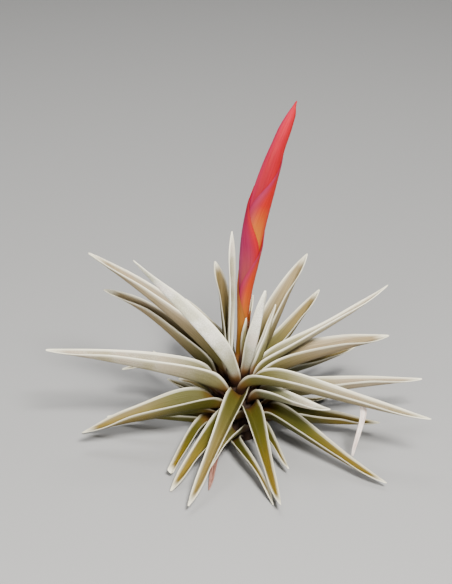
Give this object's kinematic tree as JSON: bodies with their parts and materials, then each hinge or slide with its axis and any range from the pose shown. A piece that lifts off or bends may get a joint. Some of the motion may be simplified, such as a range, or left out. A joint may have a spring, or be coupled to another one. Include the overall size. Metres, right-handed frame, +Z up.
{
  "type": "espinosae air plant",
  "caption": "Small air plant in flower: a rosette of narrow channelled silvery leaves on a short stem, with one flat leaning red flower spike of overlapping bracts.",
  "frame": {"origin": "centre of the foot of the stem, on the surface that the plant stands on", "axes": "+Z up along the stem, -Y towards the side the picture shows, +X to that side's right, where the spike leans"},
  "size_m": [0.1462, 0.1217, 0.1372],
  "materials": {
    "leaf": "matt, covered in fine silver scales",
    "dry_leaf": "matt, dry",
    "stem": "matt, fibrous",
    "scape": "satin",
    "bract": "satin, slightly waxy"
  },
  "bodies": {
    "root": {"leaf_01": "leaf", "leaf_02": "leaf", "leaf_03": "leaf", "leaf_04": "leaf", "leaf_05": "leaf", "leaf_06": "leaf", "leaf_07": "leaf", "leaf_08": "leaf", "leaf_09": "leaf", "leaf_10": "leaf", "leaf_11": "leaf", "leaf_12": "leaf", "leaf_13": "leaf", "leaf_14": "leaf", "leaf_15": "leaf", "leaf_16": "leaf", "leaf_17": "leaf", "leaf_18": "leaf", "leaf_19": "leaf", "leaf_20": "leaf", "leaf_21": "leaf", "leaf_22": "leaf", "leaf_23": "leaf", "leaf_24": "leaf", "leaf_25": "leaf", "leaf_26": "leaf", "leaf_27": "leaf", "leaf_28": "leaf", "leaf_29": "leaf", "leaf_30": "leaf", "leaf_31": "leaf", "leaf_32": "leaf", "leaf_33": "leaf", "leaf_34": "leaf", "leaf_35": "leaf", "leaf_36": "leaf", "leaf_37": "leaf", "leaf_38": "leaf", "leaf_39": "leaf", "leaf_40": "leaf", "scape_leaf_1": "leaf", "scape_leaf_2": "leaf", "dead_leaf": "dry_leaf", "withered_tip": "dry_leaf", "stem": "stem", "scape": "scape", "bract_1": "bract", "bract_2": "bract", "bract_3": "bract", "bract_4": "bract", "bract_5": "bract"}
  },
  "joints": []
}
